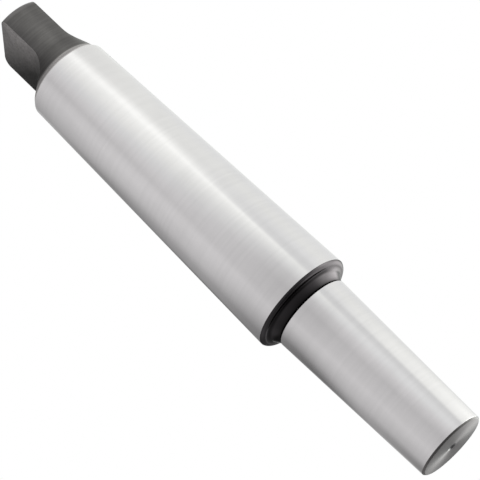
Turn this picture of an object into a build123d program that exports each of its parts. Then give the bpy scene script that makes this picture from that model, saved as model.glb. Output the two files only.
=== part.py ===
from build123d import *
import math
import os

# A taper arbor, turned and ground from one steel bar. The long cone goes into the machine
# spindle, the short cone carries a drill chuck, and the flat tang at the top drives it.
# Millimetres. The arbor stands on the flat end of the chuck taper, with its axis along +Z
# and the origin in the middle of that end face. The two flats of the tang face +X and -X.

# Chuck taper, the short cone at the bottom
chuck_gauge_diameter = 23.825    # diameter at the gauge plane
chuck_taper_ratio = 19.922       # length in which the diameter changes by one
chuck_gauge_height = 50.5        # from the end face to the gauge plane
chuck_past_gauge = 3.0           # from the gauge plane to the foot of the shoulder
chuck_edge_chamfer = 0.5         # leg of the 45 degree chamfer round the end face

# Shoulder between the two cones, going up: a shallow relief in which the grinding wheel
# runs out, a slope, a hollow, and the rounded edge of the shank
relief_width = 0.57              # height of the relief above the end of the chuck taper
relief_depth = 0.25              # how far the relief falls below the end of the chuck taper
neck_slope = 58.0                # angle of the slope from the plane of the end face
shoulder_edge_round = 1.5        # radius of the rounded edge under the shank taper
shoulder_edge_angle = 70.0       # how far the edge is rounded before the taper cuts it off

# Shank taper, the long cone
shank_gauge_diameter = 31.267    # diameter at the gauge plane
shank_taper_ratio = 19.254       # length in which the diameter changes by one
shank_past_gauge = 6.5           # from the shoulder to the gauge plane
shank_ground_length = 99.0       # from the shoulder to the small end

# Tang, a round neck with two flats milled on it
tang_length = 24.1               # from the small end of the shank taper to the tip
tang_thickness = 11.2            # across the two flats
tang_step = 1.08                 # how far its round sides lie below the small end
tang_chamfer_height = 1.5        # height of the chamfer that makes this step
tang_tip_radius = 2.5            # corner turned round the tip
tang_cutter_radius = 8.5         # radius that the cutter leaves where a flat runs out
tang_cutter_overrun = 0.5        # how far the lowest cut reaches past the chamfer's top

# Centre holes for turning and grinding between centres, one in each end
centre_pilot_diameter = 1.25
centre_mouth_diameter = 2.65
centre_pilot_depth = 1.6         # straight length of the pilot under the cone
centre_cone_angle = 60.0
centre_drill_point_angle = 118.0

# How far a cutting shape stands outside the metal
cut_clearance = 1.0


def cone_radius(gauge_diameter, taper_ratio, distance):
    """Radius of a cone at a distance from its gauge plane, towards the larger end."""
    return (gauge_diameter + distance / taper_ratio) / 2


# Heights and radii along the axis, from the end face up to the tip
foot_radius = cone_radius(chuck_gauge_diameter, chuck_taper_ratio, -chuck_gauge_height)
chamfer_radius = cone_radius(
    chuck_gauge_diameter, chuck_taper_ratio, chuck_edge_chamfer - chuck_gauge_height
)
end_face_radius = foot_radius - chuck_edge_chamfer
chuck_top_radius = cone_radius(chuck_gauge_diameter, chuck_taper_ratio, chuck_past_gauge)
shank_large_radius = cone_radius(shank_gauge_diameter, shank_taper_ratio, shank_past_gauge)
shank_small_radius = cone_radius(
    shank_gauge_diameter, shank_taper_ratio, shank_past_gauge - shank_ground_length
)
tang_radius = shank_small_radius - tang_step

# The slope and the hollow take half of the neck's width each
slope_angle = math.radians(neck_slope)
edge_angle = math.radians(shoulder_edge_angle)
relief_radius = chuck_top_radius - relief_depth
hollow_radius = shank_large_radius - shoulder_edge_round * math.sin(edge_angle)
slope_radius = (relief_radius + hollow_radius) / 2
neck_round = (hollow_radius - slope_radius) / math.sin(slope_angle)

shoulder_foot_z = chuck_gauge_height + chuck_past_gauge
relief_top_z = shoulder_foot_z + relief_width
slope_top_z = relief_top_z + (slope_radius - relief_radius) * math.tan(slope_angle)
hollow_top_z = slope_top_z + neck_round * (1 - math.cos(slope_angle))
shank_large_z = hollow_top_z + shoulder_edge_round * (1 - math.cos(edge_angle))
shank_small_z = shank_large_z + shank_ground_length
tang_root_z = shank_small_z + tang_chamfer_height
tip_z = shank_small_z + tang_length


def turned_body():
    """The whole turned shape: both cones, the shoulder, the chamfers and the tang's neck."""
    tip_corner_z = tip_z - tang_tip_radius
    tip_face_radius = tang_radius - tang_tip_radius
    with BuildPart() as body:
        with BuildSketch(Plane.XZ):
            with BuildLine():
                Polyline(
                    (0, 0),
                    (end_face_radius, 0),
                    (chamfer_radius, chuck_edge_chamfer),
                    (chuck_top_radius, shoulder_foot_z),
                    (relief_radius, relief_top_z),
                    (slope_radius, slope_top_z),
                )
                CenterArc((hollow_radius, hollow_top_z - neck_round), neck_round, 90, neck_slope)
                CenterArc(
                    (hollow_radius, hollow_top_z + shoulder_edge_round),
                    shoulder_edge_round,
                    -90,
                    shoulder_edge_angle,
                )
                Polyline(
                    (shank_large_radius, shank_large_z),
                    (shank_small_radius, shank_small_z),
                    (tang_radius, tang_root_z),
                    (tang_radius, tip_corner_z),
                )
                CenterArc((tip_face_radius, tip_corner_z), tang_tip_radius, 0, 90)
                Polyline((tip_face_radius, tip_z), (0, tip_z), (0, 0))
            make_face()
        revolve(axis=Axis.Z)
    return body.part


def flat_cut():
    """The metal milled away on the +X side of the tang, with the cutter's round run-out."""
    flat_x = tang_thickness / 2
    arc_x = flat_x + tang_cutter_radius
    lowest_z = tang_root_z - tang_cutter_overrun
    arc_z = lowest_z + tang_cutter_radius
    outer_x = max(arc_x, shank_small_radius) + cut_clearance
    top_z = tip_z + cut_clearance
    with BuildPart() as cut:
        with BuildSketch(Plane.XZ):
            with BuildLine():
                CenterArc((arc_x, arc_z), tang_cutter_radius, 180, 90)
                Polyline(
                    (arc_x, lowest_z),
                    (outer_x, lowest_z),
                    (outer_x, top_z),
                    (flat_x, top_z),
                    (flat_x, arc_z),
                )
            make_face()
        extrude(amount=shank_small_radius + cut_clearance, both=True)
    return cut.part


def centre_hole():
    """A centre hole that opens downwards at the origin, with its cone, pilot and drill point."""
    mouth_radius = centre_mouth_diameter / 2
    pilot_radius = centre_pilot_diameter / 2
    cone_depth = (mouth_radius - pilot_radius) / math.tan(math.radians(centre_cone_angle / 2))
    pilot_end = cone_depth + centre_pilot_depth
    point_depth = pilot_radius / math.tan(math.radians(centre_drill_point_angle / 2))
    with BuildPart() as hole:
        with BuildSketch(Plane.XZ):
            with BuildLine():
                Polyline(
                    (0, 0),
                    (mouth_radius, 0),
                    (pilot_radius, cone_depth),
                    (pilot_radius, pilot_end),
                    (0, pilot_end + point_depth),
                    close=True,
                )
            make_face()
        revolve(axis=Axis.Z)
    return hole.part


def arbor():
    """The finished arbor: the turned body, less the two flats and the two centre holes."""
    body = turned_body()
    right_cut = flat_cut()
    left_cut = mirror(right_cut, about=Plane.YZ)
    lower_centre = centre_hole()
    upper_centre = Pos(0, 0, tip_z) * mirror(lower_centre, about=Plane.XY)
    return body - right_cut - left_cut - lower_centre - upper_centre


os.makedirs("parts", exist_ok=True)
export_step(arbor(), "parts/arbor.step")
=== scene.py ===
import math

import bmesh
import bpy
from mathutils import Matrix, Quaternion, Vector


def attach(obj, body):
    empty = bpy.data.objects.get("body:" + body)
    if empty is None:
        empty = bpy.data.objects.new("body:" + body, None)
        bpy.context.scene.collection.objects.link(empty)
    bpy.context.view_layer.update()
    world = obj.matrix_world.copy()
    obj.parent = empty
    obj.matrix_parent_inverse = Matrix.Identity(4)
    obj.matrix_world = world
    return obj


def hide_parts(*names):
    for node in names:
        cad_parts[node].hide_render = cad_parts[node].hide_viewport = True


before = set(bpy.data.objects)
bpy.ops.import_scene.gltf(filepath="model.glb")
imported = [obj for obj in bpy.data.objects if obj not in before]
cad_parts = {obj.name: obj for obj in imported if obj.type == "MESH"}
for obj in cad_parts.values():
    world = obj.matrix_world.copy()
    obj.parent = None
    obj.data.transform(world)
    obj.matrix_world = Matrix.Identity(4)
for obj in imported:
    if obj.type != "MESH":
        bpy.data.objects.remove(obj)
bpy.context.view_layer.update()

# A taper arbor, ground bright on its two tapers and blackened on its shoulder and tang.
# It stands on the end face of the chuck taper, with its axis along +Z. The flats of the
# tang face +X and -X. Lengths are in millimetres, and are made metres where they are used.

MM = 0.001
UPWARDS = (0, 0, 1)

# Chuck taper, the short cone at the bottom
CHUCK_GAUGE_DIAMETER = 23.825    # diameter at the gauge plane
CHUCK_TAPER_RATIO = 19.922       # length in which the diameter changes by one
CHUCK_GAUGE_HEIGHT = 50.5        # from the end face to the gauge plane
CHUCK_PAST_GAUGE = 3.0           # from the gauge plane to the foot of the shoulder
END_CHAMFER = 0.5                # leg of the 45 degree chamfer round the end face

# Shoulder, going up: a shallow relief, a slope, a hollow, and the rounded edge of the shank
RELIEF_WIDTH = 0.57              # height of the relief above the end of the chuck taper
RELIEF_DEPTH = 0.25              # how far the relief falls below the end of the chuck taper
NECK_SLOPE = 58                  # degrees from the plane of the end face
SHOULDER_EDGE_ROUND = 1.5        # radius of the rounded edge under the shank taper
SHOULDER_EDGE_ANGLE = 70         # degrees that the edge is rounded before the taper starts

# Shank taper, the long cone
SHANK_GAUGE_DIAMETER = 31.267    # diameter at the gauge plane
SHANK_TAPER_RATIO = 19.254       # length in which the diameter changes by one
SHANK_PAST_GAUGE = 6.5           # from the shoulder to the gauge plane
SHANK_GROUND_LENGTH = 99.0       # from the shoulder to the small end

# Tang, a round neck with two flats milled on it
TANG_LENGTH = 24.1               # from the small end of the shank taper to the tip
TANG_THICKNESS = 11.2            # across the two flats
TANG_STEP = 1.08                 # how far its round sides lie below the small end
TANG_CHAMFER_HEIGHT = 1.5        # height of the chamfer that makes this step
TIP_ROUND = 2.5                  # corner turned round the tip
CUTTER_RADIUS = 8.5              # radius that the cutter leaves where a flat runs out
CUTTER_OVERRUN = 0.5             # how far the lowest cut reaches past the chamfer's top
CUTTER_CLEARANCE = 1.0           # how far the cutting shape goes on past its round
CUTTER_REACH = 16.0              # how far it reaches to each side of the axis
CUTTER_TOP = 183.0               # height of its top above the end face

# Centre holes, one in each end
CENTRE_MOUTH_DIAMETER = 2.65
CENTRE_PILOT_DIAMETER = 1.25
CENTRE_PILOT_DEPTH = 1.6         # straight length of the pilot under the cone
CENTRE_CONE_ANGLE = 60
CENTRE_DRILL_POINT_ANGLE = 118

# Widths of the broken edges, and the steps of each one's round
EDGE_BREAK = 0.12
SHOULDER_EDGE_BREAK = 0.05
HOLE_EDGE_BREAK = 0.1
TANG_EDGE_BREAK = 0.16
BREAK_STEPS = 2

# Steps of a whole turn round the axis, and of one round in the outline
TURN_STEPS = 256
ROUND_STEPS = 14

# Decimal places of the outline's points, in millimetres
POINT_DIGITS = 4

# Points this close are joined, and points this close to a ring belong to it
JOINED_WITHIN = 0.004
ON_RING_WITHIN = 0.005

# Edges are shaded smooth where their faces meet at less than this many degrees
SMOOTH_BELOW = 24

# The photograph's camera, which shows what lies between the nearest and farthest distance
CAMERA_PLACE = (-197.77, -461.43, -103.19)
CAMERA_AIM = (0.687, -0.296, 83.836)
CAMERA_ROLL = 46.211
CAMERA_LENS = 143.24
CAMERA_SENSOR = 36
CAMERA_NEAREST = 10
CAMERA_FARTHEST = 50000

# The floor, how far it reaches from the arbor, and how far it lies below the end face
FLOOR_REACH = 3000
FLOOR_DROP = 0.1
FLOOR_TONE = 0.95

# Brightness of the studio round the arbor. Each wall stands at one height above the horizon,
# in degrees, and has one strength for each of the turns. The space between walls is blended.
# The strengths were matched to the reflections in the photograph.
STUDIO_TURNS = (
    -180, -165, -150, -135, -113, -90, -72, -62, -55, -45, -34, -12, 30, 62, 72, 84, 100, 125, 150
)
STUDIO_WALLS = (
    (-75, (.04, .04, .04, .04, .04, .04, .04, .05, .06, .08, .1, .15, .25, .1, .06, .05, .04, .04, .04)),
    (-60, (.14, .14, .14, .14, .14, .14, .16, .18, .2, .25, .3, .45, .8, .2, .1, .08, .1, .12, .14)),
    (-45, (.18, .18, .17, .15, .14, .16, .25, .3, .35, .45, .7, .95, 1.1, .3, .15, .1, .12, .16, .18)),
    (-30, (.19, .18, .17, .15, .14, .17, .28, .35, .4, .55, 1.1, 2.2, 2.2, 1.1, .25, .15, .22, .3, .18)),
    (-14, (.17, .16, .14, .13, .12, .15, .25, .35, .45, .7, 1.4, 2.6, 3.8, 1.8, .35, .22, .23, .27, .19)),
    (-6, (.62, .66, .62, .6, .57, .7, .82, .82, .76, .72, .97, 1.3, 4.2, 1.1, .25, .18, .18, .22, .45)),
    (4, (.62, .66, .62, .6, .57, .7, .82, .82, .76, .72, .97, 1.03, 1.1, .8, .2, .08, .1, .26, .52)),
    (10, (.62, .66, .62, .6, .57, .7, .82, .82, .76, .72, .97, .99, .88, .82, .7, .56, .38, .44, .54)),
    (14, (.56, .61, .55, .52, .44, .51, .76, .86, .72, .72, .82, .88, .83, .88, .6, .3, .12, .15, .31)),
    (20, (.66, .69, .62, .63, .68, .79, .94, 1.08, .78, .76, .82, .87, .83, .9, .5, .13, .32, .38, .56)),
    (27, (.68, .68, .61, .66, .74, .88, 1.02, 1.14, 1.05, .94, .87, .88, .84, .88, .66, .32, .26, .39, .57)),
    (30, (.69, .68, .6, .69, .8, .96, 1.08, 1.2, 1.2, 1.04, .92, .89, .88, .96, .8, .54, .38, .48, .58)),
    (70, (.45, .45, .45, .5, .6, .7, .8, .8, .7, .6, .55, .52, .55, .35, .22, .12, .1, .15, .35)),
)

# Tints of the studio walls, each for walls of at least this strength
WALL_TINTS = ((0.85, (0.978, 1.0, 0.968)), (0.71, (0.978, 1.0, 0.992)), (0.0, (1.0, 1.0, 1.0)))

# Slight tints of the bright steel, the end face, the black shoulder, and the tang with the
# dull chamfers
STEEL_TINT = (1.026, 1.0, 1.012)
END_TINT = (1.045, 1.0, 1.02)
SHOULDER_TINT = (1.08, 1.0, 1.05)
DULL_TINT = (1.045, 1.0, 0.99)

# Tones of the shoulder from its foot to the shank, as pairs of share of its height and tone:
# all round it, on its side with painted light, and on its side with painted shade. They paint
# shade and reflections up its height, darkest in the relief at its foot.
SHOULDER_TONES_AND_SHADE = (
    (0.0, 0.012),
    (0.11, 0.012),
    (0.14, 0.028),
    (0.2, 0.058),
    (0.36, 0.085),
    (0.58, 0.10),
    (0.66, 0.056),
    (0.71, 0.052),
    (0.75, 0.085),
    (0.79, 0.16),
    (0.84, 0.15),
    (0.9, 0.13),
    (1.0, 0.105),
)
# Painted light on one side of the shoulder
PAINTED_LIGHT_TONES = (
    (0.0, 0.012),
    (0.1, 0.02),
    (0.17, 0.08),
    (0.3, 0.135),
    (0.5, 0.16),
    (0.62, 0.125),
    (0.8, 0.2),
    (0.87, 0.12),
    (0.93, 0.075),
    (1.0, 0.065),
)
# Painted shade on the other side of the shoulder
PAINTED_SHADE_TONES = (
    (0.0, 0.012),
    (0.11, 0.012),
    (0.17, 0.035),
    (0.3, 0.025),
    (0.45, 0.03),
    (0.6, 0.1),
    (0.72, 0.07),
    (0.82, 0.11),
    (1.0, 0.11),
)


def chuck_radius(height):
    """Radius of the chuck taper at a height above the end face."""
    return (CHUCK_GAUGE_DIAMETER + (height - CHUCK_GAUGE_HEIGHT) / CHUCK_TAPER_RATIO) / 2


def shank_radius(length):
    """Radius of the shank taper at a length above its large end."""
    return (SHANK_GAUGE_DIAMETER + (SHANK_PAST_GAUGE - length) / SHANK_TAPER_RATIO) / 2


# Corners of the turned outline, going up, as radius and height above the end face, with the
# angles, radii and heights that they need. The slope and the hollow take half of the neck's
# width each.
NECK_ANGLE = math.radians(NECK_SLOPE)
EDGE_ANGLE = math.radians(SHOULDER_EDGE_ANGLE)
SHOULDER_FOOT = CHUCK_GAUGE_HEIGHT + CHUCK_PAST_GAUGE
END_FACE_RADIUS = chuck_radius(0) - END_CHAMFER
CHUCK_FOOT = (chuck_radius(END_CHAMFER), END_CHAMFER)
CHUCK_TOP = (chuck_radius(SHOULDER_FOOT), SHOULDER_FOOT)
RELIEF_TOP = (CHUCK_TOP[0] - RELIEF_DEPTH, CHUCK_TOP[1] + RELIEF_WIDTH)
HOLLOW_RADIUS = shank_radius(0) - SHOULDER_EDGE_ROUND * math.sin(EDGE_ANGLE)
NECK_HALF = (HOLLOW_RADIUS - RELIEF_TOP[0]) / 2
NECK_ROUND = NECK_HALF / math.sin(NECK_ANGLE)
SLOPE_TOP = (RELIEF_TOP[0] + NECK_HALF, RELIEF_TOP[1] + NECK_HALF * math.tan(NECK_ANGLE))
HOLLOW_TOP = (HOLLOW_RADIUS, SLOPE_TOP[1] + NECK_ROUND * (1 - math.cos(NECK_ANGLE)))
SHANK_LARGE = (shank_radius(0), HOLLOW_TOP[1] + SHOULDER_EDGE_ROUND * (1 - math.cos(EDGE_ANGLE)))
SHANK_SMALL = (shank_radius(SHANK_GROUND_LENGTH), SHANK_LARGE[1] + SHANK_GROUND_LENGTH)
TANG_ROOT = (SHANK_SMALL[0] - TANG_STEP, SHANK_SMALL[1] + TANG_CHAMFER_HEIGHT)
TIP_HEIGHT = SHANK_SMALL[1] + TANG_LENGTH
TIP_CORNER = (TANG_ROOT[0], TIP_HEIGHT - TIP_ROUND)
CENTRE_MOUTH = CENTRE_MOUTH_DIAMETER / 2

# Where painted light and shade change across the arbor, as the weights, low and high of share_along
# Painted light and painted shade on the two sides of the shoulder
PAINTED_LIGHT_SIDE = ((0.92, -0.39, -0.9), -40.3, -37.8)
PAINTED_SHADE_SIDE = ((-0.92, 0.39, -1.3), -60.7, -59.7)
# Painted shade low down at the tang's corner with one flat
PAINTED_SHADE_CORNER_TO_REST = ((1, 0, 0.3), 40, 49)
# Painted light at the tip of the flats, fading to painted shade at their foot
PAINTED_LIGHT_TIP_TO_SHADED_FOOT = ((0, 1, -0.9), -164.2, -147.2)
# Painted light on one side of the end chamfer, and painted shade on the other
SIDE_TO_SIDE = ((0.92, -0.39, 0), -CHUCK_FOOT[0], CHUCK_FOOT[0])


def point(radius, height):
    """A point of the outline, in metres, in the XZ plane.

    It is rounded, because the least difference can change how the cut divides the flats."""
    return Vector((round(radius, POINT_DIGITS) * MM, 0, round(height, POINT_DIGITS) * MM))


def line_to(body, start, radius, height):
    """Draws the outline on to a new point and returns that point's vertex."""
    end = body.verts.new(point(radius, height))
    body.edges.new((start, end))
    return end


def round_to(body, start, centre_radius, centre_height, degrees):
    """Draws the outline on round an arc and returns the arc's last vertex.

    With the radius to the right and the height up, positive degrees run anticlockwise."""
    swept = bmesh.ops.spin(
        body,
        geom=[start],
        cent=point(centre_radius, centre_height),
        axis=(0, -1, 0),
        dvec=(0, 0, 0),
        angle=math.radians(degrees),
        steps=ROUND_STEPS,
        use_duplicate=False,
    )
    return next(v for v in swept["geom_last"] if isinstance(v, bmesh.types.BMVert))


def slot_of(finish):
    """The number of a finish's slot, which is the same on every mesh."""
    return list(finishes).index(finish)


def turn_zone(finish, start, draw):
    """Turns one stretch of the outline round the axis and gives it its finish."""
    zone = bmesh.new()
    draw(zone, zone.verts.new(point(*start)))
    bmesh.ops.spin(
        zone,
        geom=zone.verts[:] + zone.edges[:],
        cent=(0, 0, 0),
        axis=UPWARDS,
        dvec=(0, 0, 0),
        angle=math.tau,
        steps=TURN_STEPS,
        use_merge=True,
    )
    for face in zone.faces:
        face.material_index = slot_of(finish)
    mesh = bpy.data.meshes.new("zone")
    zone.to_mesh(mesh)
    zone.free()
    return mesh


def draw_lines(*corners):
    """A stretch of the outline made of straight lines."""

    def draw(zone, vertex):
        for radius, height in corners:
            vertex = line_to(zone, vertex, radius, height)

    return draw


def draw_shoulder(zone, vertex):
    """The relief, the slope, the hollow and the rounded edge up to the shank."""
    vertex = line_to(zone, vertex, *RELIEF_TOP)
    vertex = line_to(zone, vertex, *SLOPE_TOP)
    radius, height = HOLLOW_TOP
    vertex = round_to(zone, vertex, radius, height - NECK_ROUND, -NECK_SLOPE)
    round_to(zone, vertex, radius, height + SHOULDER_EDGE_ROUND, SHOULDER_EDGE_ANGLE)


def draw_tang(zone, vertex):
    """The tang's neck, with the corner turned round its tip and the flat of the tip."""
    radius, height = TIP_CORNER
    vertex = line_to(zone, vertex, radius, height)
    vertex = round_to(zone, vertex, radius - TIP_ROUND, height, 90)
    line_to(zone, vertex, CENTRE_MOUTH, TIP_HEIGHT)


def draw_centre_hole(mouth_height, way):
    """A centre hole from its mouth to the drill's point. way is 1 upwards and -1 downwards."""
    pilot = CENTRE_PILOT_DIAMETER / 2
    cone_depth = (CENTRE_MOUTH - pilot) / math.tan(math.radians(CENTRE_CONE_ANGLE / 2))
    pilot_end = cone_depth + CENTRE_PILOT_DEPTH
    point_end = pilot_end + pilot / math.tan(math.radians(CENTRE_DRILL_POINT_ANGLE / 2))
    return draw_lines(
        (pilot, mouth_height + way * cone_depth),
        (pilot, mouth_height + way * pilot_end),
        (0, mouth_height + way * point_end),
    )


def ring_edges(body, radius, height):
    """The edges of one turned corner."""
    near = ON_RING_WITHIN * MM

    def on_ring(vertex):
        return (
            abs(vertex.co.z - height * MM) < near
            and abs(vertex.co.xy.length - radius * MM) < near
        )

    return [e for e in body.edges if all(on_ring(v) for v in e.verts)]


def break_edges(body, edges, width):
    """Breaks sharp edges with a narrow round, and returns its faces."""
    broken = bmesh.ops.bevel(
        body,
        geom=edges,
        offset=width * MM,
        offset_type="OFFSET",
        segments=BREAK_STEPS,
        profile=0.5,
        affect="EDGES",
        clamp_overlap=True,
        material=-1,
    )
    return broken["faces"]


def turned_body():
    """The whole turned shape, closed, with its corners lightly broken."""
    zones = (
        turn_zone("centre_hole", (CENTRE_MOUTH, 0), draw_centre_hole(0, 1)),
        turn_zone("faced_end", (CENTRE_MOUTH, 0), draw_lines((END_FACE_RADIUS, 0))),
        turn_zone("end_chamfer", (END_FACE_RADIUS, 0), draw_lines(CHUCK_FOOT)),
        turn_zone("ground_taper", CHUCK_FOOT, draw_lines(CHUCK_TOP)),
        turn_zone("black_shoulder", CHUCK_TOP, draw_shoulder),
        turn_zone("ground_taper", SHANK_LARGE, draw_lines(SHANK_SMALL)),
        turn_zone("bare_chamfer", SHANK_SMALL, draw_lines(TANG_ROOT)),
        turn_zone("black_turned", TANG_ROOT, draw_tang),
        turn_zone("centre_hole", (CENTRE_MOUTH, TIP_HEIGHT), draw_centre_hole(TIP_HEIGHT, -1)),
    )
    body = bmesh.new()
    for mesh in zones:
        body.from_mesh(mesh)
        bpy.data.meshes.remove(mesh)
    bmesh.ops.remove_doubles(body, verts=body.verts[:], dist=JOINED_WITHIN * MM)
    bmesh.ops.recalc_face_normals(body, faces=body.faces[:])
    breaks = (
        ((CENTRE_MOUTH, 0), HOLE_EDGE_BREAK),
        ((END_FACE_RADIUS, 0), EDGE_BREAK),
        (CHUCK_FOOT, EDGE_BREAK),
        (SHANK_LARGE, SHOULDER_EDGE_BREAK),
        (SHANK_SMALL, EDGE_BREAK),
        (TANG_ROOT, EDGE_BREAK),
    )
    for corner, width in breaks:
        break_edges(body, ring_edges(body, *corner), width)
    return body


def flat_cutter(side):
    """The metal milled away on one side of the tang, with the cutter's round run-out."""
    flat_x = TANG_THICKNESS / 2
    arc_x = flat_x + CUTTER_RADIUS
    lowest = TANG_ROOT[1] - CUTTER_OVERRUN
    arc_height = lowest + CUTTER_RADIUS
    outer_x = arc_x + CUTTER_CLEARANCE
    cut = bmesh.new()
    first = cut.verts.new(point(flat_x, CUTTER_TOP))
    flat_foot = line_to(cut, first, flat_x, arc_height)
    run_out = round_to(cut, flat_foot, arc_x, arc_height, 90)
    outer = line_to(cut, run_out, outer_x, lowest)
    last = line_to(cut, outer, outer_x, CUTTER_TOP)
    cut.edges.new((last, first))
    bmesh.ops.contextual_create(cut, geom=cut.edges[:])
    bmesh.ops.translate(cut, verts=cut.verts[:], vec=(0, -CUTTER_REACH * MM, 0))
    swept = bmesh.ops.extrude_face_region(cut, geom=cut.faces[:])
    moved = [v for v in swept["geom"] if isinstance(v, bmesh.types.BMVert)]
    bmesh.ops.translate(cut, verts=moved, vec=(0, 2 * CUTTER_REACH * MM, 0))
    if side < 0:
        bmesh.ops.scale(cut, verts=cut.verts[:], vec=(-1, 1, 1))
    bmesh.ops.recalc_face_normals(cut, faces=cut.faces[:])
    for face in cut.faces:
        face.material_index = slot_of("black_milled")
    return new_object("flat_cutter", cut)


def new_object(name, body):
    """An object of that mesh, at the origin, with a slot for each finish."""
    mesh = bpy.data.meshes.new(name)
    body.to_mesh(mesh)
    body.free()
    made = bpy.data.objects.new(name, mesh)
    bpy.context.scene.collection.objects.link(made)
    for material in finishes.values():
        mesh.materials.append(material)
    return made


def mill_flat(arbor, side):
    """Cuts one flat into the tang."""
    cutter = flat_cutter(side)
    cut = arbor.modifiers.new("flat", "BOOLEAN")
    cut.operation = "DIFFERENCE"
    cut.solver = "EXACT"
    cut.object = cutter
    milled = bpy.data.meshes.new_from_object(
        arbor.evaluated_get(bpy.context.evaluated_depsgraph_get())
    )
    arbor.modifiers.clear()
    whole = arbor.data
    arbor.data = milled
    bpy.data.meshes.remove(whole)
    bpy.data.objects.remove(cutter)


def beside_flat(edge):
    """Whether a milled face and a turned one meet at this edge."""
    slots = {face.material_index for face in edge.link_faces}
    return len(slots) == 2 and slot_of("black_milled") in slots


def wear_and_smooth(arbor):
    """Breaks the edges of the flats, and shades all but the sharp edges smooth."""
    body = bmesh.new()
    body.from_mesh(arbor.data)
    bmesh.ops.remove_doubles(body, verts=body.verts[:], dist=JOINED_WITHIN * MM)
    edges = [edge for edge in body.edges if beside_flat(edge)]
    for face in break_edges(body, edges, TANG_EDGE_BREAK):
        face.material_index = slot_of("worn_edge")
    for edge in body.edges:
        edge.smooth = edge.calc_face_angle(0) < math.radians(SMOOTH_BELOW)
    for face in body.faces:
        face.smooth = True
    body.to_mesh(arbor.data)
    body.free()


def plug_in(tree, node, sockets):
    """Gives each socket of a node its value, or links it to another node's output."""
    for name, value in sockets.items():
        if isinstance(value, bpy.types.NodeSocket):
            tree.links.new(value, node.inputs[name])
        else:
            node.inputs[name].default_value = value


def add_node(tree, kind, sockets=None, **settings):
    """Adds a node with its settings, and with what goes into its sockets."""
    node = tree.nodes.new("ShaderNode" + kind)
    for name, value in settings.items():
        setattr(node, name, value)
    plug_in(tree, node, sockets or {})
    return node


def grey(tone, tint=(1, 1, 1)):
    """A grey with a slight tint."""
    return (tone * tint[0], tone * tint[1], tone * tint[2], 1)


def scaled_place(tree, scale, turn=0):
    """The place on the arbor, in metres from its end face, turned in degrees and scaled."""
    place = add_node(tree, "TexCoord").outputs["Object"]
    turned = (0, 0, math.radians(turn))
    sockets = {"Vector": place, "Rotation": turned, "Scale": scale}
    return add_node(tree, "Mapping", sockets).outputs["Vector"]


def marks(tree, across, along, detail=2):
    """Tool marks as noise. across and along are marks per metre, across Z and along Z."""
    place = scaled_place(tree, (across, across, along))
    sockets = {"Vector": place, "Scale": 1, "Detail": detail, "Roughness": 0.6}
    return add_node(tree, "TexNoise", sockets).outputs["Fac"]


def rings(tree, per_metre):
    """Concentric tool marks on a faced end, as noise on the distance from the axis."""
    place = scaled_place(tree, (per_metre, per_metre, 0))
    radius = add_node(tree, "VectorMath", {0: place}, operation="LENGTH").outputs["Value"]
    sockets = {"W": radius, "Scale": 1, "Detail": 2}
    return add_node(tree, "TexNoise", sockets, noise_dimensions="1D").outputs["Fac"]


def spread(tree, value, low, high, start=0.3, end=0.7):
    """Turns a value from start to end into a number from low to high.

    Unless others are given, noise stays mostly between the start and the end."""
    sockets = {
        "Value": value,
        "From Min": start,
        "From Max": end,
        "To Min": low,
        "To Max": high,
    }
    return add_node(tree, "MapRange", sockets).outputs["Result"]


def share_along(tree, weights, low, high):
    """How far each place lies from low to high, as a share.

    It is measured in millimetres, as the sum of X, Y and Z times their weights."""
    place = add_node(tree, "TexCoord").outputs["Object"]
    along = add_node(tree, "VectorMath", {0: place, 1: weights}, operation="DOT_PRODUCT")
    return spread(tree, along.outputs["Value"], 0, 1, low * MM, high * MM)


def colours(tree, value, stops):
    """Turns a value into a colour, by pairs of place and colour."""
    ramp = add_node(tree, "ValToRGB", {"Fac": value})
    elements = ramp.color_ramp.elements
    for element, (place, colour) in zip(elements, (stops[0], stops[-1])):
        element.position = place
        element.color = colour
    for place, colour in stops[1:-1]:
        elements.new(place).color = colour
    return ramp.outputs["Color"]


def tones(tree, value, *stops, tint=(1, 1, 1)):
    """Turns a value into a grey, by pairs of place and tone."""
    return colours(tree, value, [(place, grey(tone, tint)) for place, tone in stops])


def multiply(tree, first, *others):
    """One grey times the others."""
    for other in others:
        product = add_node(tree, "VectorMath", {0: first, 1: other}, operation="MULTIPLY")
        first = product.outputs["Vector"]
    return first


def mixed(tree, share, first, second):
    """Two colours blended by a share."""
    sockets = {"Fac": share, "Color1": first, "Color2": second}
    return add_node(tree, "MixRGB", sockets).outputs["Color"]


def bumps(tree, *layers):
    """The surface's direction with bumps in layers, each a value and its depth."""
    below = {}
    for value, depth in layers:
        sockets = {"Height": value, "Strength": 1, "Distance": depth * MM, **below}
        below = {"Normal": add_node(tree, "Bump", sockets).outputs["Normal"]}
    return below["Normal"]


def grain(tree, across, share, spiral=0):
    """What a shader's sockets take for marks that run round the axis.

    Such marks stretch a reflection across them, upwards or outwards, by the share. Marks that
    wind outwards as they run round make an angle with a circle, the spiral."""
    return {"Tangent": scaled_place(tree, across, spiral), "Anisotropic": share}


def new_finish(name):
    """A metal finish with its shader, to which the finish adds its own detail."""
    material = bpy.data.materials.new(name)
    material.use_nodes = True
    shader = material.node_tree.nodes["Principled BSDF"]
    shader.inputs["Metallic"].default_value = 1
    return material, material.node_tree, shader


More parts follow.
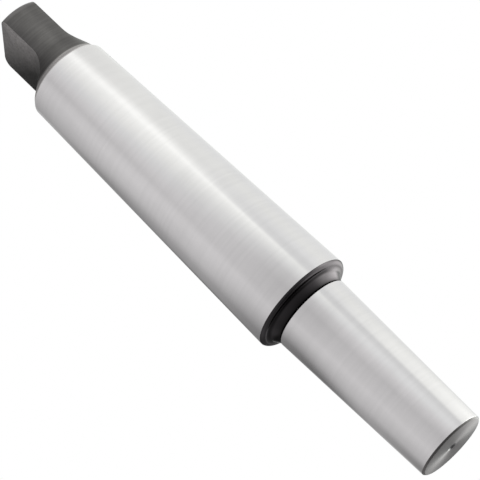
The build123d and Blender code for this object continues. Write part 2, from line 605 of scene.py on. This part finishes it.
def ground_taper():
    """Fine ground steel: round the cone run faint wheel marks, with dull patches."""
    material, tree, shader = new_finish("ground_taper")
    fine = marks(tree, across=160, along=7000)
    bands = marks(tree, across=25, along=900, detail=4)
    patches = marks(tree, across=90, along=50, detail=4)
    sockets = {
        "Base Color": multiply(
            tree,
            tones(tree, patches, (0.30, 0.81), (0.45, 0.835), (0.75, 0.85), tint=STEEL_TINT),
            tones(tree, bands, (0.35, 0.97), (0.62, 1.0)),
        ),
        "Roughness": spread(tree, patches, 0.16, 0.12),
        "Normal": bumps(tree, (fine, 0.0015), (bands, 0.002)),
        **grain(tree, UPWARDS, 0.55),
    }
    plug_in(tree, shader, sockets)
    return material


def black_shoulder():
    """Glossy black steel with fine turned marks, with painted shade and reflections up its height
    that are darkest in the relief at its foot.

    One side has painted light, and the other side more painted shade."""
    material, tree, shader = new_finish("black_shoulder")
    fine = marks(tree, across=120, along=5000)
    patches = marks(tree, across=200, along=260, detail=4)
    height = share_along(tree, UPWARDS, CHUCK_TOP[1], SHANK_LARGE[1])
    # Painted shade and reflections up the shoulder, darkest in the relief at its foot
    plain = tones(tree, height, *SHOULDER_TONES_AND_SHADE, tint=SHOULDER_TINT)
    painted_light = tones(tree, height, *PAINTED_LIGHT_TONES, tint=SHOULDER_TINT)
    painted_shade = tones(tree, height, *PAINTED_SHADE_TONES, tint=SHOULDER_TINT)
    # Painted light on one side of the shoulder, and painted shade on the other
    tone = mixed(tree, share_along(tree, *PAINTED_LIGHT_SIDE), plain, painted_light)
    tone = mixed(tree, share_along(tree, *PAINTED_SHADE_SIDE), tone, painted_shade)
    sockets = {
        "Base Color": multiply(tree, tone, tones(tree, patches, (0.3, 0.92), (0.7, 1.06))),
        "Specular Tint": grey(0.55),
        "Roughness": spread(tree, patches, 0.16, 0.22),
        "Normal": bumps(tree, (fine, 0.003)),
    }
    plug_in(tree, shader, sockets)
    return material


def black_turned():
    """Black steel with fine turned marks. It is worn at the tip, and bare beside the chamfer.

    It has painted shade low down at the corner with one of the flats."""
    material, tree, shader = new_finish("black_turned")
    fine = marks(tree, across=150, along=5200, detail=3)
    cuts = marks(tree, across=40, along=2600, detail=3)
    patches = marks(tree, across=130, along=180, detail=4)
    height = share_along(tree, UPWARDS, TANG_ROOT[1], TIP_HEIGHT)
    # Painted shade low down at the corner with one of the flats
    corner = share_along(tree, *PAINTED_SHADE_CORNER_TO_REST)
    bare_foot = ((0.0, 0.47), (0.012, 0.43), (0.024, 0.132))
    worn_tip = ((0.895, 0.132), (0.94, 0.24), (1.0, 0.32))
    sockets = {
        "Base Color": multiply(
            tree,
            tones(tree, height, *bare_foot, *worn_tip, tint=DULL_TINT),
            tones(tree, cuts, (0.34, 0.88), (0.66, 1.08)),
            tones(tree, patches, (0.3, 0.88), (0.7, 1.08)),
            tones(tree, corner, (0, 0.42), (0.25, 0.62), (0.55, 0.85), (1, 1.02)),
        ),
        "Roughness": spread(tree, patches, 0.34, 0.26),
        "Normal": bumps(tree, (fine, 0.005), (cuts, 0.008)),
        **grain(tree, UPWARDS, 0.4),
    }
    plug_in(tree, shader, sockets)
    return material


def black_milled():
    """Black steel of the flats, speckled by the cutter, with painted light towards the tip that fades to
    painted shade at the foot.
    """
    material, tree, shader = new_finish("black_milled")
    speckle = marks(tree, across=1500, along=1500, detail=3)
    patches = marks(tree, across=140, along=160, detail=4)
    # Painted light towards the tip, fading to painted shade at the foot
    light_to_shade = share_along(tree, *PAINTED_LIGHT_TIP_TO_SHADED_FOOT)
    sockets = {
        "Base Color": multiply(
            tree,
            tones(tree, light_to_shade, (0.0, 0.41), (0.47, 0.26), (0.94, 0.07), (1.0, 0.05), tint=DULL_TINT),
            tones(tree, speckle, (0.35, 0.84), (0.65, 1.14)),
            tones(tree, patches, (0.3, 0.9), (0.7, 1.06)),
        ),
        "Specular Tint": grey(0.6),
        "Roughness": spread(tree, speckle, 0.46, 0.34),
        "Normal": bumps(tree, (speckle, 0.006)),
    }
    plug_in(tree, shader, sockets)
    return material


def worn_edge():
    """Bare steel that shows through the black along the edges of the flats."""
    material, tree, shader = new_finish("worn_edge")
    wear = marks(tree, across=500, along=500, detail=4)
    sockets = {
        "Base Color": tones(tree, wear, (0.35, 0.10), (0.65, 0.28)),
        "Roughness": spread(tree, wear, 0.5, 0.3),
    }
    plug_in(tree, shader, sockets)
    return material


def turned_chamfer(name, dull, bright, low, high, painted_highlight, side_light_and_shade):
    """Turned steel of a chamfer between two heights, with a painted highlight at the first that
    brightens it by a factor.

    The sides are pairs of place and factor of painted light and shade, from one side of the arbor
    to the other."""
    material, tree, shader = new_finish(name)
    cuts = marks(tree, across=80, along=6000, detail=3)
    patches = marks(tree, across=180, along=180, detail=4)
    height = share_along(tree, UPWARDS, low, high)
    side = share_along(tree, *SIDE_TO_SIDE)
    sockets = {
        "Base Color": multiply(
            tree,
            tones(tree, patches, (0.3, dull), (0.7, bright), tint=DULL_TINT),
            # Painted highlight at the first height, and painted light and shade from side to side
            tones(tree, height, (0.0, painted_highlight), (0.15, painted_highlight), (0.35, 1.0), (1.0, 0.95)),
            tones(tree, side, *side_light_and_shade),
        ),
        "Roughness": spread(tree, cuts, 0.42, 0.3),
        "Normal": bumps(tree, (cuts, 0.004)),
    }
    plug_in(tree, shader, sockets)
    return material


def bare_chamfer():
    """The bare chamfer between the shank taper and the tang, with a painted highlight along its lower edge.
    """
    return turned_chamfer(
        "bare_chamfer",
        dull=0.49,
        bright=0.58,
        low=SHANK_SMALL[1],
        high=TANG_ROOT[1],
        painted_highlight=1.7,
        side_light_and_shade=((0, 1), (1, 1)),
    )


def end_chamfer():
    """The narrow chamfer round the end face, with painted light on one side of the arbor and painted shade
    on the other.
    """
    return turned_chamfer(
        "end_chamfer",
        dull=0.15,
        bright=0.19,
        low=0,
        high=CHUCK_FOOT[1],
        painted_highlight=1.1,
        side_light_and_shade=((0, 2.2), (0.5, 2.0), (0.68, 0.95), (0.93, 0.83), (1, 0.62)),
    )


def faced_end():
    """Turned end face, with fine rings that draw the light out into two wedges."""
    material, tree, shader = new_finish("faced_end")
    fine = rings(tree, per_metre=9000)
    coarse = rings(tree, per_metre=2200)
    patches = marks(tree, across=260, along=260, detail=4)
    sockets = {
        "Base Color": multiply(
            tree,
            tones(tree, patches, (0.3, 0.315), (0.7, 0.37), tint=END_TINT),
            tones(tree, coarse, (0.3, 0.9), (0.7, 1.0)),
        ),
        "Specular Tint": grey(0.7),
        "Roughness": spread(tree, fine, 0.36, 0.30),
        "Normal": bumps(tree, (coarse, 0.004)),
        **grain(tree, (1, 1, 0), 0.82, spiral=-20),
    }
    plug_in(tree, shader, sockets)
    return material


def centre_hole():
    """Drilled steel of the centre holes, with fine turned marks."""
    material, tree, shader = new_finish("centre_hole")
    cuts = marks(tree, across=300, along=4000, detail=3)
    sockets = {
        "Base Color": tones(tree, cuts, (0.3, 0.3), (0.7, 0.42)),
        "Roughness": spread(tree, cuts, 0.4, 0.26),
        "Normal": bumps(tree, (cuts, 0.006)),
    }
    plug_in(tree, shader, sockets)
    return material


def add_camera():
    """The photograph's view: from a little below the end face, with the tang at the top left."""
    camera = bpy.data.objects.new("camera", bpy.data.cameras.new("camera"))
    bpy.context.scene.collection.objects.link(camera)
    place = Vector(CAMERA_PLACE) * MM
    look = (Vector(CAMERA_AIM) * MM - place).to_track_quat("-Z", "Y")
    camera.rotation_mode = "QUATERNION"
    camera.rotation_quaternion = look @ Quaternion((0, 0, 1), -math.radians(CAMERA_ROLL))
    camera.location = place
    camera.data.sensor_width = CAMERA_SENSOR
    camera.data.lens = CAMERA_LENS
    camera.data.clip_start = CAMERA_NEAREST * MM
    camera.data.clip_end = CAMERA_FARTHEST * MM
    bpy.context.scene.camera = camera


def pale_floor():
    """Pale paint that is clear from below, so the end face can be seen through the floor."""
    material = bpy.data.materials.new("pale_floor")
    material.use_nodes = True
    tree = material.node_tree
    tree.nodes.clear()
    below = add_node(tree, "NewGeometry").outputs["Backfacing"]
    paint = add_node(tree, "BsdfDiffuse", {"Color": grey(FLOOR_TONE)}).outputs["BSDF"]
    clear = add_node(tree, "BsdfTransparent").outputs["BSDF"]
    either = add_node(tree, "MixShader", {"Fac": below, 1: paint, 2: clear}).outputs["Shader"]
    add_node(tree, "OutputMaterial", {"Surface": either})
    return material


def add_floor():
    """A plain floor that neither shades the arbor nor shows in it."""
    body = bmesh.new()
    bmesh.ops.create_grid(body, x_segments=1, y_segments=1, size=FLOOR_REACH * MM)
    bmesh.ops.translate(body, verts=body.verts[:], vec=(0, 0, -FLOOR_DROP * MM))
    mesh = bpy.data.meshes.new("floor")
    body.to_mesh(mesh)
    body.free()
    mesh.materials.append(pale_floor())
    floor = bpy.data.objects.new("floor", mesh)
    bpy.context.scene.collection.objects.link(floor)
    floor.visible_glossy = False
    floor.visible_diffuse = False
    floor.visible_shadow = False


def studio_wall(tree, turn, strengths):
    """The brightness all round at one height. The last turn meets the first."""
    stops = []
    for degrees, strength in zip((*STUDIO_TURNS, 180), (*strengths, strengths[0])):
        tint = next(tint for least, tint in WALL_TINTS if strength >= least)
        stops.append(((degrees + 180) / 360, grey(strength, tint)))
    return colours(tree, turn, stops)


def add_studio():
    """Soft light from all round, as from a white studio with a few dark walls."""
    scene = bpy.context.scene
    scene.view_settings.view_transform = "Standard"
    scene.world = bpy.data.worlds.new("studio")
    scene.world.use_nodes = True
    tree = scene.world.node_tree
    tree.nodes.clear()
    way = add_node(tree, "TexCoord").outputs["Generated"]
    x, y, z = add_node(tree, "SeparateXYZ", {0: way}).outputs
    around = add_node(tree, "Math", {0: y, 1: x}, operation="ARCTAN2").outputs[0]
    upward = add_node(tree, "Math", {0: z}, operation="ARCSINE").outputs[0]
    turn = spread(tree, around, 0, 1, -math.pi, math.pi)
    low, strengths = STUDIO_WALLS[0]
    shade = studio_wall(tree, turn, strengths)
    for high, strengths in STUDIO_WALLS[1:]:
        share = spread(tree, upward, 0, 1, math.radians(low), math.radians(high))
        shade = mixed(tree, share, shade, studio_wall(tree, turn, strengths))
        low = high
    seen = add_node(tree, "LightPath").outputs["Is Camera Ray"]
    light = add_node(tree, "Background", {"Color": mixed(tree, seen, shade, grey(1))})
    add_node(tree, "OutputWorld", {"Surface": light.outputs[0]})


# The finishes by name, in the order of their slots
finishes = {
    material.name: material
    for material in (
        ground_taper(),
        black_shoulder(),
        black_turned(),
        black_milled(),
        worn_edge(),
        bare_chamfer(),
        end_chamfer(),
        faced_end(),
        centre_hole(),
    )
}

arbor = new_object("arbor_steel", turned_body())
for side in (1, -1):
    mill_flat(arbor, side)
wear_and_smooth(arbor)
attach(arbor, "root")
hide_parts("arbor")

add_floor()
add_studio()
add_camera()
